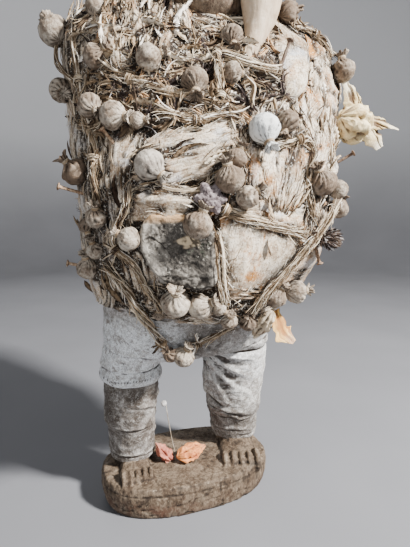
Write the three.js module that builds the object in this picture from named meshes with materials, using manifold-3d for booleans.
// Standing power figure: a carved wooden figure on an oval base, its trunk wrapped in bark cloth
// and hung with tied cloth bundles, cords, nails, husks, a horn and a medicine plaque.
// Millimetres. +Z is up, the figure faces -Y, and the origin is the centre of the base's underside.
// A place on the trunk is a bearing round it (0 at the front, positive to +X) and a height.
import * as THREE from 'three';
import { mergeVertices } from 'three/addons/utils/BufferGeometryUtils.js';
import Module from 'manifold-3d';

const wasm = await Module();
wasm.setup();

const GAP = 0.3;
const WRAP_THICKNESS = 9;
const WRAP_TOP = 646;
const WRAP_SIDES = 24;
const WRAP_HEM = { middle: 276, rise: 18, lowestBearing: 20 };
const CLOTH_THICKNESS = 4;
const TRUNK_SQUARENESS = 2.3;
const CORD_SIDES = 6;
const CORD_STEP = 27;

// The wrapped trunk: height, half width, half depth, middle x, middle y.
const TRUNK = [
  [236, 106, 74, 0, -4],
  [262, 117, 92, 6, -14],
  [300, 135, 104, 15, -26],
  [345, 149, 112, 21, -34],
  [404, 158, 114, 23, -36],
  [466, 163, 110, 26, -32],
  [527, 170, 100, 29, -22],
  [580, 171, 88, 29, -12],
  [612, 153, 76, 23, -6],
  [634, 112, 62, 12, -4],
  [646, 66, 48, 4, -4],
];

// The carved oval base.
const BASE = { halfWidth: 120, halfDepth: 73.5, height: 42, squareness: 2.4 };
const BASE_EDGE = [[0, 0.95], [7, 0.975], [22, 1], [33, 0.99], [39, 0.965], [42, 0.93]];

// A leg in its cloth, from the ankle up: height, middle x, middle y, half width, half depth.
const LEFT_LEG = [
  [47, -74, 21, 30, 33],
  [70, -75, 20, 31, 34],
  [97, -76, 16, 31, 36],
  [106, -77, 14, 34, 39],
  [136, -77, 10, 35, 41],
  [167, -76, 5, 36, 42],
];
const RIGHT_LEG = [
  [54, 84, 24, 33, 34],
  [70, 83, 22, 34, 35],
  [92, 81, 18, 36, 38],
  [100, 80, 17, 39, 41],
  [122, 78, 13, 39, 42],
  [130, 77, 12, 43, 44],
  [160, 76, 8, 44, 46],
  [200, 74, 2, 46, 49],
];

// The breeches: the rolled hem of the left thigh, the right thigh and the hips.
const LEFT_THIGH = [
  [168, -76, 5, 37, 43],
  [173, -76, 5, 41, 47],
  [182, -76, 4, 40, 47],
  [188, -76, 4, 38, 46],
  [215, -70, 0, 42, 54],
];
const RIGHT_THIGH = [
  [203, 73, 2, 45, 47],
  [207, 73, 1, 49, 51],
  [225, 68, -1, 50, 56],
];
const HIPS = [
  [193, -2, -3, 62, 26],
  [204, 1, -4, 100, 52],
  [222, 2, -5, 112, 68],
  [252, 4, -9, 115, 80],
  [286, 8, -18, 118, 90],
];

// A foot: heel, toes and half width in plan, and which side its big toe is on.
const LEFT_FOOT = { heel: [-72, 46], toes: [-78, -44], halfWidth: 22.5, bigToe: 1 };
const RIGHT_FOOT = { heel: [90, 50], toes: [66, -50], halfWidth: 28, bigToe: -1 };
const FOOT_SHAPE = [[0, 0.5, 14], [0.1, 0.82, 22], [0.3, 0.9, 24], [0.55, 0.92, 19], [0.8, 1, 13], [1, 0.98, 9]];

// The head above the chin, which the picture's edge cuts off, and the small cap.
const HEAD = [
  [592, 0, -86, 17, 15],
  [599, 0, -76, 36, 31],
  [614, 0, -60, 51, 50],
  [636, 0, -44, 60, 64],
  [662, 0, -34, 64, 72],
  [690, 0, -30, 66, 76],
  [718, 0, -29, 65, 76],
  [742, 0, -29, 62, 72],
];
const CAP = [
  [738, 0, -29, 66, 76],
  [748, 0, -29, 67, 77],
  [762, 0, -27, 60, 69],
  [780, 0, -25, 44, 51],
  [793, 0, -24, 25, 29],
  [800, 0, -24, 11, 12],
];
const NECK = [[600, 0, -14, 52, 52], [640, 0, -18, 50, 52], [668, 0, -24, 52, 56]];

const COLOURS = {
  wood: 0x6f6455,
  wrap: 0xb8a68c,
  legCloth: 0xa19c92,
  cord: 0xb09d80,
  bundle: 0x968c7d,
  paleBundle: 0xb9b4aa,
  iron: 0x7a5f4a,
  plaque: 0x4f4c48,
  horn: 0xb8a389,
  creamHusk: 0xe0cfa6,
  orangeHusk: 0xe6b980,
  fallenHusk: 0xbd8056,
  burr: 0x968f8b,
  thread: 0xb5ab99,
};

// Places on the trunk

function tangent(index, column) {
  const last = TRUNK.length - 1;
  const before = TRUNK[Math.max(0, index - 1)];
  const after = TRUNK[Math.min(last, index + 1)];
  return (after[column] - before[column]) / (after[0] - before[0]);
}

function trunkAt(height) {
  const clamped = THREE.MathUtils.clamp(height, TRUNK[0][0], TRUNK[TRUNK.length - 1][0]);
  const index = Math.max(0, TRUNK.findLastIndex((row, place) => row[0] <= clamped && place < TRUNK.length - 1));
  const low = TRUNK[index];
  const high = TRUNK[index + 1];
  const span = high[0] - low[0];
  const t = (clamped - low[0]) / span;
  const blend = (column) => {
    const easeIn = (1 + 2 * t) * (1 - t) ** 2 * low[column];
    const easeOut = t * t * (3 - 2 * t) * high[column];
    const slopeIn = t * (1 - t) ** 2 * span * tangent(index, column);
    const slopeOut = t * t * (t - 1) * span * tangent(index + 1, column);
    return easeIn + easeOut + slopeIn + slopeOut;
  };
  return { halfWidth: blend(1), halfDepth: blend(2), x: blend(3), y: blend(4) };
}

function ripple(bearing, height) {
  const angle = THREE.MathUtils.degToRad(bearing);
  return 1.6 * Math.sin(5 * angle + height / 21) + 1.2 * Math.sin(9 * angle - height / 13);
}

function onTrunk(bearing, height, lift = 0) {
  const angle = THREE.MathUtils.degToRad(bearing);
  const row = trunkAt(height);
  const across = Math.abs(Math.sin(angle) / row.halfWidth) ** TRUNK_SQUARENESS;
  const along = Math.abs(Math.cos(angle) / row.halfDepth) ** TRUNK_SQUARENESS;
  const reach = (across + along) ** (-1 / TRUNK_SQUARENESS) + ripple(bearing, height) + lift;
  return new THREE.Vector3(row.x + reach * Math.sin(angle), row.y - reach * Math.cos(angle), height);
}

// The outward normal, the upward and the sideways direction at a place on the trunk.
function trunkFrame(bearing, height) {
  const side = onTrunk(bearing + 4, height).sub(onTrunk(bearing - 4, height)).normalize();
  const rise = onTrunk(bearing, height + 8).sub(onTrunk(bearing, height - 8)).normalize();
  const out = new THREE.Vector3().crossVectors(side, rise).normalize();
  const up = new THREE.Vector3().crossVectors(out, side).normalize();
  return { out, up, side };
}

// A direction that turns clockwise from up, as seen from outside, and leans out of the surface.
function directionOnTrunk(bearing, height, turn, lean) {
  const { out, up, side } = trunkFrame(bearing, height);
  const turned = THREE.MathUtils.degToRad(turn);
  const leaning = THREE.MathUtils.degToRad(lean);
  const flat = up.multiplyScalar(Math.cos(turned)).addScaledVector(side, Math.sin(turned));
  return flat.multiplyScalar(Math.cos(leaning)).addScaledVector(out, Math.sin(leaning));
}

// Solids

function solid(geometry) {
  const bare = geometry.clone();
  bare.deleteAttribute('normal');
  bare.deleteAttribute('uv');
  const merged = mergeVertices(bare, 1e-4);
  const faces = [];
  for (let first = 0; first < merged.index.count; first += 3) {
    const [a, b, c] = [0, 1, 2].map((corner) => merged.index.getX(first + corner));
    if (a !== b && b !== c && c !== a) faces.push(a, b, c);
  }
  const vertProperties = Float32Array.from(merged.attributes.position.array);
  return new wasm.Manifold(new wasm.Mesh({ numProp: 3, vertProperties, triVerts: Uint32Array.from(faces) }));
}

function geometryOf(body) {
  const mesh = body.getMesh();
  const geometry = new THREE.BufferGeometry();
  geometry.setAttribute('position', new THREE.BufferAttribute(mesh.vertProperties, 3));
  geometry.setIndex(new THREE.BufferAttribute(mesh.triVerts, 1));
  return geometry;
}

function signedVolume(positions, faces) {
  let volume = 0;
  const corners = [new THREE.Vector3(), new THREE.Vector3(), new THREE.Vector3()];
  for (let first = 0; first < faces.length; first += 3) {
    corners.forEach((corner, place) => corner.fromArray(positions, 3 * faces[first + place]));
    volume += corners[0].dot(new THREE.Vector3().crossVectors(corners[1], corners[2]));
  }
  return volume;
}

// A closed body through rings of equal count, with a fan at each end.
function loft(rings) {
  const count = rings[0].length;
  const positions = rings.flat().flatMap((point) => point.toArray());
  const faces = [];
  for (let level = 0; level + 1 < rings.length; level += 1) {
    for (let step = 0; step < count; step += 1) {
      const low = level * count;
      const high = low + count;
      const next = (step + 1) % count;
      faces.push(low + step, low + next, high + next, low + step, high + next, high + step);
    }
  }
  [[0, -1], [rings.length - 1, 1]].forEach(([level, sense]) => {
    const middle = positions.length / 3;
    const centre = rings[level].reduce((sum, point) => sum.add(point), new THREE.Vector3());
    positions.push(...centre.divideScalar(count).toArray());
    for (let step = 0; step < count; step += 1) {
      const pair = [level * count + step, level * count + (step + 1) % count];
      faces.push(middle, ...(sense > 0 ? pair : pair.reverse()));
    }
  });
  if (signedVolume(positions, faces) < 0) faces.reverse();
  const geometry = new THREE.BufferGeometry();
  geometry.setAttribute('position', new THREE.Float32BufferAttribute(positions, 3));
  geometry.setIndex(faces);
  return solid(geometry);
}

function squaredRing(x, y, z, halfWidth, halfDepth, count, squareness) {
  return Array.from({ length: count }, (_, step) => {
    const angle = (2 * Math.PI * step) / count;
    const cosine = Math.cos(angle);
    const sine = Math.sin(angle);
    const across = Math.sign(cosine) * Math.abs(cosine) ** (2 / squareness);
    const along = Math.sign(sine) * Math.abs(sine) ** (2 / squareness);
    return new THREE.Vector3(x + halfWidth * across, y + halfDepth * along, z);
  });
}

// An upright body from rows of height, middle x, middle y, half width and half depth.
function column(rows, count, grow = 0, squareness = 2.1) {
  return loft(rows.map(([z, x, y, halfWidth, halfDepth], level) => {
    const end = level === 0 ? -grow : level === rows.length - 1 ? grow : 0;
    const width = Math.max(1, halfWidth + grow);
    const depth = Math.max(1, halfDepth + grow);
    return squaredRing(x, y, z + end, width, depth, count, squareness);
  }));
}

// A turned body along a direction from a starting point, its profile as distance and radius.
function turned(start, direction, profile, sides, grow = 0) {
  const outline = profile.map(([along, radius], place) => {
    const end = place === 0 ? -grow : place === profile.length - 1 ? grow : 0;
    return new THREE.Vector2(radius === 0 ? 0 : radius + grow, along + end);
  });
  const geometry = new THREE.LatheGeometry(outline, sides);
  const spin = new THREE.Quaternion().setFromUnitVectors(new THREE.Vector3(0, 1, 0), direction.clone().normalize());
  geometry.applyQuaternion(spin);
  geometry.translate(start.x, start.y, start.z);
  return solid(geometry);
}

function ball(centre, radii, across = 8, down = 4) {
  const geometry = new THREE.SphereGeometry(1, across, down);
  geometry.rotateX(Math.PI / 2);
  geometry.scale(...radii);
  geometry.translate(...centre);
  return solid(geometry);
}

function union(bodies) {
  return bodies.reduce((whole, body) => whole.add(body));
}

function ropeThrough(points, diameter, grow, sides, stepLength) {
  const path = new THREE.CatmullRomCurve3(points, false, 'centripetal');
  const radius = diameter / 2 + grow;
  const section = new THREE.Shape(Array.from({ length: sides }, (_, corner) => {
    const angle = (2 * Math.PI * corner) / sides;
    return new THREE.Vector2(radius * Math.cos(angle), radius * Math.sin(angle));
  }));
  const steps = Math.max(3, Math.round(path.getLength() / stepLength));
  return solid(new THREE.ExtrudeGeometry(section, { steps, bevelEnabled: false, extrudePath: path }));
}

// The figure

function foot({ heel, toes, halfWidth, bigToe }, grow) {
  const start = new THREE.Vector3(...heel, 0);
  const along = new THREE.Vector3(...toes, 0).sub(start);
  const across = new THREE.Vector3(-along.y, along.x, 0).normalize();
  const ground = BASE.height - 1;
  const sole = loft(FOOT_SHAPE.map(([t, width, height]) => {
    const middle = start.clone().addScaledVector(along, t).setZ(ground);
    return Array.from({ length: 8 }, (_, step) => {
      const angle = (2 * Math.PI * step) / 8;
      const point = middle.clone().addScaledVector(across, (halfWidth * width + grow) * Math.cos(angle));
      return point.setZ(ground + (height + grow) * Math.sin(angle));
    });
  }));
  const toeBalls = [-2, -1, 0, 1, 2].map((place) => {
    const isBig = place === -2 * Math.sign(bigToe * across.x);
    const sideways = place * halfWidth * 0.4;
    const back = Math.abs(place + 0.6 * bigToe * Math.sign(across.x)) * 1.6;
    const middle = start.clone().add(along).addScaledVector(across, sideways);
    middle.addScaledVector(along.clone().normalize(), 2 - back);
    const radius = halfWidth * (isBig ? 0.25 : 0.2);
    return ball([middle.x, middle.y, ground + 2], [radius, radius * 1.9, isBig ? 10 : 8.5], 5, 3);
  });
  return union([sole, ...toeBalls]);
}

// Rings up the trunk from a lowest edge, which is a height or a function of the bearing.
function trunkRings(grow, levels, sides, from, to) {
  const lowest = typeof from === 'function' ? from : () => from;
  return Array.from({ length: levels + 1 }, (_, level) => {
    const end = level === 0 ? -Math.max(grow, 0) : level === levels ? Math.max(grow, 0) : 0;
    return Array.from({ length: sides }, (_unused, step) => {
      const bearing = (360 * step) / sides;
      const height = THREE.MathUtils.lerp(lowest(bearing), to, level / levels);
      return onTrunk(bearing, height, grow).add(new THREE.Vector3(0, 0, end));
    });
  });
}

// The wrap's lower edge is lowest in front of the right thigh and rises towards the back.
function wrapHem(bearing) {
  const turn = THREE.MathUtils.degToRad(bearing - WRAP_HEM.lowestBearing);
  return WRAP_HEM.middle - WRAP_HEM.rise * Math.cos(turn);
}

function faceDetails() {
  const forward = -104;
  const nose = loft([
    [696, 4, -103, 3],
    [676, 6, -106, 6],
    [660, 12, -108, 11],
    [652, 13, -106, 8],
    [650, 8, -104, 4],
  ].map(([z, halfWidth, y, depth]) => squaredRing(0, y, z, halfWidth, depth, 6, 2)));
  const eyes = [-1, 1].map((side) => ball([side * 26, forward + 6, 684], [14, 7, 6.5]));
  const brows = [-1, 1].map((side) => ball([side * 25, forward + 6, 699], [19, 7, 3.5]));
  const lips = [ball([0, forward + 8, 635], [18, 9, 3.6]), ball([0, forward + 10, 627], [15, 9, 4])];
  const ears = [-1, 1].map((side) => ball([side * 66, -30, 678], [6, 10, 19], 6, 4));
  return [nose, ...eyes, ...brows, ...lips, ...ears];
}

function carvedFigure(grow) {
  const base = loft(BASE_EDGE.map(([z, scale], level) => {
    const raise = level === BASE_EDGE.length - 1 ? grow : 0;
    const width = BASE.halfWidth * scale + grow;
    const depth = BASE.halfDepth * scale + grow;
    return squaredRing(0, 0, z + raise, width, depth, 26, BASE.squareness);
  }));
  const shrink = grow - CLOTH_THICKNESS;
  const bareLegs = [LEFT_LEG, RIGHT_LEG].map((leg) => {
    const shin = leg.filter((row, level) => level % 3 === 0);
    const [, x, y, halfWidth, halfDepth] = leg[leg.length - 1];
    shin.unshift([BASE.height - 6, ...leg[0].slice(1)]);
    shin.push([225, x * 0.9, y, halfWidth, halfDepth]);
    return column(shin, 8, shrink);
  });
  const hips = column(HIPS.slice(1, 4), 8, shrink, 2.3);
  const core = loft(trunkRings(grow - WRAP_THICKNESS, 4, 12, 240, 640));
  const head = column(HEAD, 14, grow, 2.2);
  const cap = column(CAP, 12, grow, 2);
  const neck = column(NECK, 10, grow);
  const feet = [foot(LEFT_FOOT, grow), foot(RIGHT_FOOT, grow)];
  return union([base, ...feet, ...bareLegs, hips, core, neck, head, cap, ...faceDetails()]);
}

function torsoWrap(grow) {
  return loft(trunkRings(grow, 10, WRAP_SIDES, wrapHem, WRAP_TOP));
}

function breeches(grow) {
  const thighs = [column(LEFT_THIGH, 12, grow), column(RIGHT_THIGH, 12, grow)];
  return union([column(HIPS, 16, grow, 2.3), ...thighs]);
}

// Nails

const NAIL = { shank: 3.6, head: 8, headThickness: 1.8, buried: 14 };
// Bearing and height where the nail goes in, its direction as turn and lean, its free length.
const NAILS = {
  nail_right_breast: [24, 538, 22, 32, 36],
  nail_left_breast: [-59, 449, -38, 35, 24],
  nail_left_waist: [-76, 405, -20, 70, 31],
  nail_left_hip: [-82, 324, -20, 72, 30],
  nail_right_flank: [66, 449, 20, 62, 22],
  nail_right_hip: [46, 352, 176, 24, 26],
};

function nail([bearing, height, turn, lean, free], grow) {
  const direction = directionOnTrunk(bearing, height, turn, lean);
  const start = onTrunk(bearing, height).addScaledVector(direction, -NAIL.buried);
  const length = NAIL.buried + free;
  const profile = [
    [0, 0],
    [0, NAIL.shank / 2],
    [length - NAIL.headThickness, NAIL.shank / 2],
    [length - NAIL.headThickness, NAIL.head / 2],
    [length, NAIL.head / 2],
    [length, 0],
  ];
  return turned(start, direction, profile, 7, grow);
}

// Cords. Each route is a list of bearings and heights, lying on the wrap at its own lift.

const CORDS = {
  cord_left_side: {
    diameter: 8, lift: 1,
    route: [[-80, 612], [-75, 565], [-75, 522], [-72, 480], [-68, 448], [-67, 418], [-66, 394]],
    hung: [[-68, 597, 21, 0, 10], [-88, 521, 27, 115, 5]],
  },
  cord_left_hip: {
    diameter: 8, lift: 2,
    route: [[-52, 414], [-53, 393], [-58, 372], [-61, 354], [-52, 330], [-47, 309], [-41, 292], [-39, 280]],
    hung: [[-39, 277, 13, 0, 10]],
  },
  cord_thigh: { diameter: 9, lift: 2, route: [[-66, 330], [-57, 307], [-49, 282], [-41, 256], [-34, 234]] },
  cord_waist: { diameter: 8, lift: 1, route: [[-43, 412], [-36, 406], [-30, 405], [-24, 408], [-19, 414]] },
  cord_belly: { diameter: 10, lift: 1, route: [[-14, 390], [-7, 383], [4, 377], [17, 370], [32, 361]] },
  cord_right_diagonal: {
    diameter: 9, lift: 9,
    route: [[54, 401], [43, 376], [32, 348], [25, 321], [18, 297], [15, 274]],
  },
  cord_belly_strip: {
    diameter: 12, lift: 0,
    route: [[-18, 366], [-15, 346], [-12, 321], [-7, 296], [-4, 286]],
    hung: [[-6, 283, 16, 120, 10]],
  },
  cord_upper_chest: {
    diameter: 9, lift: 1,
    route: [[-64, 527], [-56, 517], [-49, 511], [-42, 504], [-33, 499], [-23, 496], [-15, 488]],
  },
  cord_lower_chest: {
    diameter: 8, lift: 1,
    route: [[-44, 484], [-35, 478], [-27, 474], [-19, 479], [-12, 480], [-6, 474]],
  },
  cord_right_chest: {
    diameter: 8, lift: 7,
    route: [[-16, 500], [-16, 523], [-16, 548], [-5, 541], [7, 536], [19, 532]],
    hung: [[-9, 526, 21, 90, 0]],
  },
  cord_right_shoulder: { diameter: 9, lift: 1, route: [[49, 606], [60, 606], [66, 598], [70, 582]] },
  cord_right_side: {
    diameter: 9, lift: 0,
    route: [[10, 457], [22, 459], [33, 464], [36, 452], [35, 430], [35, 411], [36, 380]],
  },
  cord_crotch: {
    diameter: 7, lift: 2,
    route: [[14, 256], [8, 244], [-2, 234], [-12, 226]],
    hung: [[-19, 219, 25, 20, 30], [-29, 221, 17, -40, 30]],
  },
  cord_back_upper: {
    diameter: 9, lift: 1.5, step: 40,
    route: [[98, 590], [118, 560], [140, 540], [165, 530], [190, 528], [215, 536], [240, 556], [262, 586]],
    hung: [[140, 526, 28, 180, 10], [208, 520, 29, 180, 10]],
  },
  cord_back_lower: {
    diameter: 9, lift: 1.5, step: 40,
    route: [[96, 400], [120, 372], [145, 352], [172, 344], [200, 348], [228, 366], [256, 398]],
    hung: [[152, 336, 28, 180, 10], [214, 346, 27, 180, 10]],
  },
};

function cord({ diameter, lift, route, step = CORD_STEP, hung = [] }, grow) {
  const points = route.map(([bearing, height]) => onTrunk(bearing, height, diameter / 2 + lift));
  const rope = ropeThrough(points, diameter, grow, CORD_SIDES, step);
  return union([rope, ...hung.map((place) => bundle(place, grow))]);
}

// Bundles: cloth gathered round a filling and tied at the neck.
// Each place is a bearing, a height, a diameter, and the neck's turn and lean.

const BUNDLE_SHAPE = [[-1, 0], [-0.62, 0.78], [0.22, 1], [0.98, 0.26], [1.32, 0.38], [1.34, 0]];
const BUNDLE_SIDES = 6;
const BUNDLES = {
  bundle_left_shoulder: { places: [[-88, 587, 34, -40, 20]] },
  bundle_left_collar: { places: [[-65, 540, 25, 60, 10]] },
  bundle_left_breast: { places: [[-46, 535, 26, 70, 5]] },
  bundle_row_left: {
    places: [[-67, 491, 25, 120, 10], [-58, 479, 28, 100, 5], [-50, 474, 16, 90, 5]],
  },
  bundle_breastbone: { places: [[-28, 512, 27, 180, 5]] },
  bundle_under_chin: { places: [[-7, 567, 24, 180, 5]] },
  bundle_great: { places: [[5, 468, 32, 175, 15]], colour: 'paleBundle' },
  bundle_rough: { places: [[20, 480, 23, 200, 0]] },
  bundle_right_shoulder: { places: [[69, 566, 30, 0, 10]] },
  bundle_right_collar: { places: [[50, 620, 28, 60, 20]] },
  bundle_left_waist: { places: [[-44, 430, 30, 130, 5]], colour: 'paleBundle' },
  bud_left_waist: { places: [[-76, 428, 27, -20, 40]] },
  bundle_left_flank: { places: [[-67, 381, 22, 20, 10], [-77, 372, 17, 160, 10]] },
  bundle_beside_plaque: { places: [[-52, 360, 24, -60, 10]] },
  bundle_over_plaque: { places: [[-25, 374, 29, 20, 10]] },
  bundle_middle_pair: { places: [[-12, 418, 29, -15, 10], [-9, 438, 21, 20, 10]] },
  bundle_middle_cloth: { places: [[-3, 401, 24, 60, 0]] },
  bundle_right_waist: { places: [[40, 419, 30, -30, 5], [56, 414, 22, 90, 5]], colour: 'paleBundle' },
  nut_right_waist: { places: [[66, 393, 26, 0, 20]] },
  bundle_left_hip: { places: [[-76, 326, 25, 10, 10], [-71, 346, 19, 0, 20]] },
  bundle_front_pair: { places: [[-31, 293, 31, 0, 10], [-18, 288, 28, 60, 10]], colour: 'paleBundle' },
  bundle_front_small: { places: [[5, 266, 20, 0, 10]] },
  bundle_right_hip_pair: { places: [[26, 293, 26, 20, 10], [43, 294, 27, 70, 20]] },
  bundle_front_cloth: { places: [[19, 262, 21, -20, 0]] },
};

function bundle([bearing, height, diameter, turn, lean], grow) {
  const radius = diameter / 2;
  const centre = onTrunk(bearing, height, radius * 0.82);
  const direction = directionOnTrunk(bearing, height, turn, lean);
  const profile = BUNDLE_SHAPE.map(([along, width]) => [along * radius, width * radius]);
  return turned(centre, direction, profile, BUNDLE_SIDES, grow);
}

function bundles({ places }, grow) {
  return union(places.map((place) => bundle(place, grow)));
}

// Husks, burr and fibre tuft: turned outlines pinched into lobes.

function lobed(centre, direction, rows, lobes, depth, grow) {
  const axis = direction.clone().normalize();
  const spin = new THREE.Quaternion().setFromUnitVectors(new THREE.Vector3(0, 0, 1), axis);
  const count = 2 * lobes;
  return loft(rows.map(([along, radius, flatten = 1], level) => {
    const end = level === 0 ? -grow : level === rows.length - 1 ? grow : 0;
    return Array.from({ length: count }, (_, step) => {
      const angle = (Math.PI * step) / lobes;
      const reach = radius * (step % 2 === 0 ? 1 : 1 - depth) + grow;
      const point = new THREE.Vector3(reach * Math.cos(angle), flatten * reach * Math.sin(angle), along + end);
      return point.applyQuaternion(spin).add(centre);
    });
  }));
}

function creamHusk(grow) {
  const centre = onTrunk(74, 500, 26);
  const direction = directionOnTrunk(74, 500, 110, 50);
  const rows = [[-30, 5], [-20, 22], [-2, 31], [14, 27], [27, 13, 0.7], [48, 2, 0.6]];
  return lobed(centre, direction, rows, 5, 0.28, grow);
}

function orangeHusk(grow) {
  const centre = onTrunk(42, 258, 12);
  const direction = directionOnTrunk(42, 258, 160, 20);
  const rows = [[-15, 4], [-9, 11], [2, 17], [14, 20, 0.7], [24, 16, 0.5], [30, 5, 0.4]];
  return lobed(centre, direction, rows, 5, 0.25, grow);
}

function knobblyBurr(grow) {
  const centre = onTrunk(-20, 399, 9);
  const direction = trunkFrame(-20, 399).out;
  return lobed(centre, direction, [[-9, 8], [0, 17], [9, 7]], 6, 0.3, grow);
}

function fibreTuft(grow) {
  const centre = onTrunk(46, 357, 15);
  const direction = directionOnTrunk(46, 357, 90, 50);
  return lobed(centre, direction, [[-11, 4], [-4, 9], [6, 13], [15, 11], [17, 4]], 5, 0.4, grow);
}

const FALLEN_HUSKS = {
  base_husk_left: { centre: [-33, -2], heading: [-8, 10], length: 27, radius: 11.5 },
  base_husk_right: { centre: [2, -14], heading: [12, 2], length: 36, radius: 13 },
};

function fallenHusk({ centre, heading, length, radius }, grow) {
  const middle = new THREE.Vector3(...centre, BASE.height + GAP + radius * 0.72);
  const direction = new THREE.Vector3(...heading, 0);
  const rows = [[-0.5, 0.2], [-0.36, 0.72], [-0.08, 1], [0.2, 0.86], [0.38, 0.45], [0.5, 0.12]];
  const scaled = rows.map(([along, reach]) => [along * length, reach * radius, 0.72]);
  return lobed(middle, direction, scaled, 5, 0.2, grow);
}

// Thread from the knot on the left leg's cloth to the husks on the base

const THREAD_DIAMETER = 1.2;
const KNOT = { centre: [-36.5, -18, 132], radius: 4 };
const THREAD_ROUTE = [
  [-33.5, -17.5, 128.5],
  [-31, -16, 112],
  [-27, -13, 90],
  [-23.5, -10, 72],
  [-20.5, -8, 60],
  [-19, -7, 52],
];

function thread(grow) {
  const points = THREAD_ROUTE.map((point) => new THREE.Vector3(...point));
  return ropeThrough(points, THREAD_DIAMETER, grow, 8, 3 * THREAD_DIAMETER);
}

function leftLegging(grow) {
  const knot = ball(KNOT.centre, [KNOT.radius, KNOT.radius, KNOT.radius], 8, 6);
  return union([column(LEFT_LEG, 12, grow), knot]);
}

function rightLegging(grow) {
  return column(RIGHT_LEG, 12, grow);
}

// Horn on its neck cord

// Middle line of the horn from the tip up, with the radius there.
const HORN = [
  [[27, -112, 507], 3],
  [[31, -113, 522], 5],
  [[35, -113, 540], 6],
  [[39, -113, 554], 8],
  [[46, -112, 571], 12],
  [[52, -110, 590], 18],
  [[54, -109, 610], 22.5],
  [[55, -107, 632], 24],
  [[55, -104, 650], 21],
];
const HORN_CORD_DIAMETER = 7;
const HORN_CORD_ROUTE = [[54, -92, 654], [66, -62, 668], [58, -10, 672], [30, 34, 666]];

function horn(grow) {
  return loft(HORN.map(([[x, y, z], radius], level) => {
    const end = level === 0 ? -grow : level === HORN.length - 1 ? grow : 0;
    return squaredRing(x, y, z + end, radius + grow, (radius + grow) * 0.85, 10, 2);
  }));
}

function hornCord(grow) {
  const points = HORN_CORD_ROUTE.map((point) => new THREE.Vector3(...point));
  return ropeThrough(points, HORN_CORD_DIAMETER, grow, CORD_SIDES, CORD_STEP);
}

// Medicine plaque on the belly: an uneven outline in its own plane, pressed on the wrap.

const PLAQUE = { bearing: -34, height: 347, thickness: 11, sunk: 3, bevel: 3 };
const PLAQUE_OUTLINE = [
  [-37, 26], [-27, 37], [-8, 38], [14, 37], [30, 30], [36, 12],
  [37, -10], [38, -31], [24, -38], [4, -33], [-18, -29], [-32, -20], [-38, 0],
];

function plaque(grow) {
  const outline = PLAQUE_OUTLINE.map(([across, up]) => new THREE.Vector2(across, up));
  outline.forEach((point) => point.multiplyScalar(1 - (PLAQUE.bevel - grow) / 38));
  const depth = PLAQUE.thickness - PLAQUE.bevel + grow;
  const bevel = { bevelThickness: PLAQUE.bevel, bevelSize: PLAQUE.bevel, bevelSegments: 1 };
  const geometry = new THREE.ExtrudeGeometry(new THREE.Shape(outline), { depth, curveSegments: 1, ...bevel });
  const { out, up, side } = trunkFrame(PLAQUE.bearing, PLAQUE.height);
  const place = onTrunk(PLAQUE.bearing, PLAQUE.height, -PLAQUE.sunk);
  geometry.applyMatrix4(new THREE.Matrix4().makeBasis(side, up, out).setPosition(place));
  return solid(geometry);
}

// Every piece in order: each is cut clear of all those before it.

const nails = Object.entries(NAILS).map(([name, place]) => {
  return { name, colour: 'iron', make: (grow) => nail(place, grow) };
});
const cords = Object.entries(CORDS).map(([name, spec]) => {
  return { name, colour: 'cord', make: (grow) => cord(spec, grow) };
});
const hangings = Object.entries(BUNDLES).map(([name, spec]) => {
  return { name, colour: spec.colour ?? 'bundle', make: (grow) => bundles(spec, grow) };
});
const fallen = Object.entries(FALLEN_HUSKS).map(([name, spec]) => {
  return { name, colour: 'fallenHusk', make: (grow) => fallenHusk(spec, grow) };
});

const PIECES = [
  ...nails,
  { name: 'carved_figure', colour: 'wood', make: carvedFigure },
  { name: 'torso_wrap', colour: 'wrap', make: torsoWrap },
  { name: 'breeches', colour: 'legCloth', make: breeches },
  { name: 'legging_left', colour: 'legCloth', make: leftLegging },
  { name: 'legging_right', colour: 'legCloth', make: rightLegging },
  { name: 'thread', colour: 'thread', make: thread },
  ...fallen,
  { name: 'horn_pendant', colour: 'horn', make: horn },
  { name: 'horn_cord', colour: 'cord', make: hornCord },
  { name: 'belly_plaque', colour: 'plaque', make: plaque },
  ...cords,
  { name: 'knobbly_burr', colour: 'burr', make: knobblyBurr },
  { name: 'cream_husk', colour: 'creamHusk', make: creamHusk },
  { name: 'orange_husk', colour: 'orangeHusk', make: orangeHusk },
  { name: 'fibre_tuft_right', colour: 'cord', make: fibreTuft },
  ...hangings,
];

function boxesMeet(one, other) {
  return [0, 1, 2].every((axis) => one.min[axis] <= other.max[axis] && other.min[axis] <= one.max[axis]);
}

// A cut can leave a loose sliver beside the piece itself.
function largest(body) {
  return body.decompose().reduce((best, other) => (other.volume() > best.volume() ? other : best));
}

const group = new THREE.Group();
const placed = [];
PIECES.forEach(({ name, colour, make }) => {
  let body = make(0);
  placed.forEach((earlier) => {
    if (boxesMeet(body.boundingBox(), earlier.boundingBox())) body = body.subtract(earlier);
  });
  body = largest(body);
  placed.push(make(GAP));
  const material = new THREE.MeshStandardMaterial({ color: COLOURS[colour], roughness: 0.85, metalness: 0 });
  const mesh = new THREE.Mesh(geometryOf(body), material);
  mesh.name = name;
  group.add(mesh);
});

export default group;
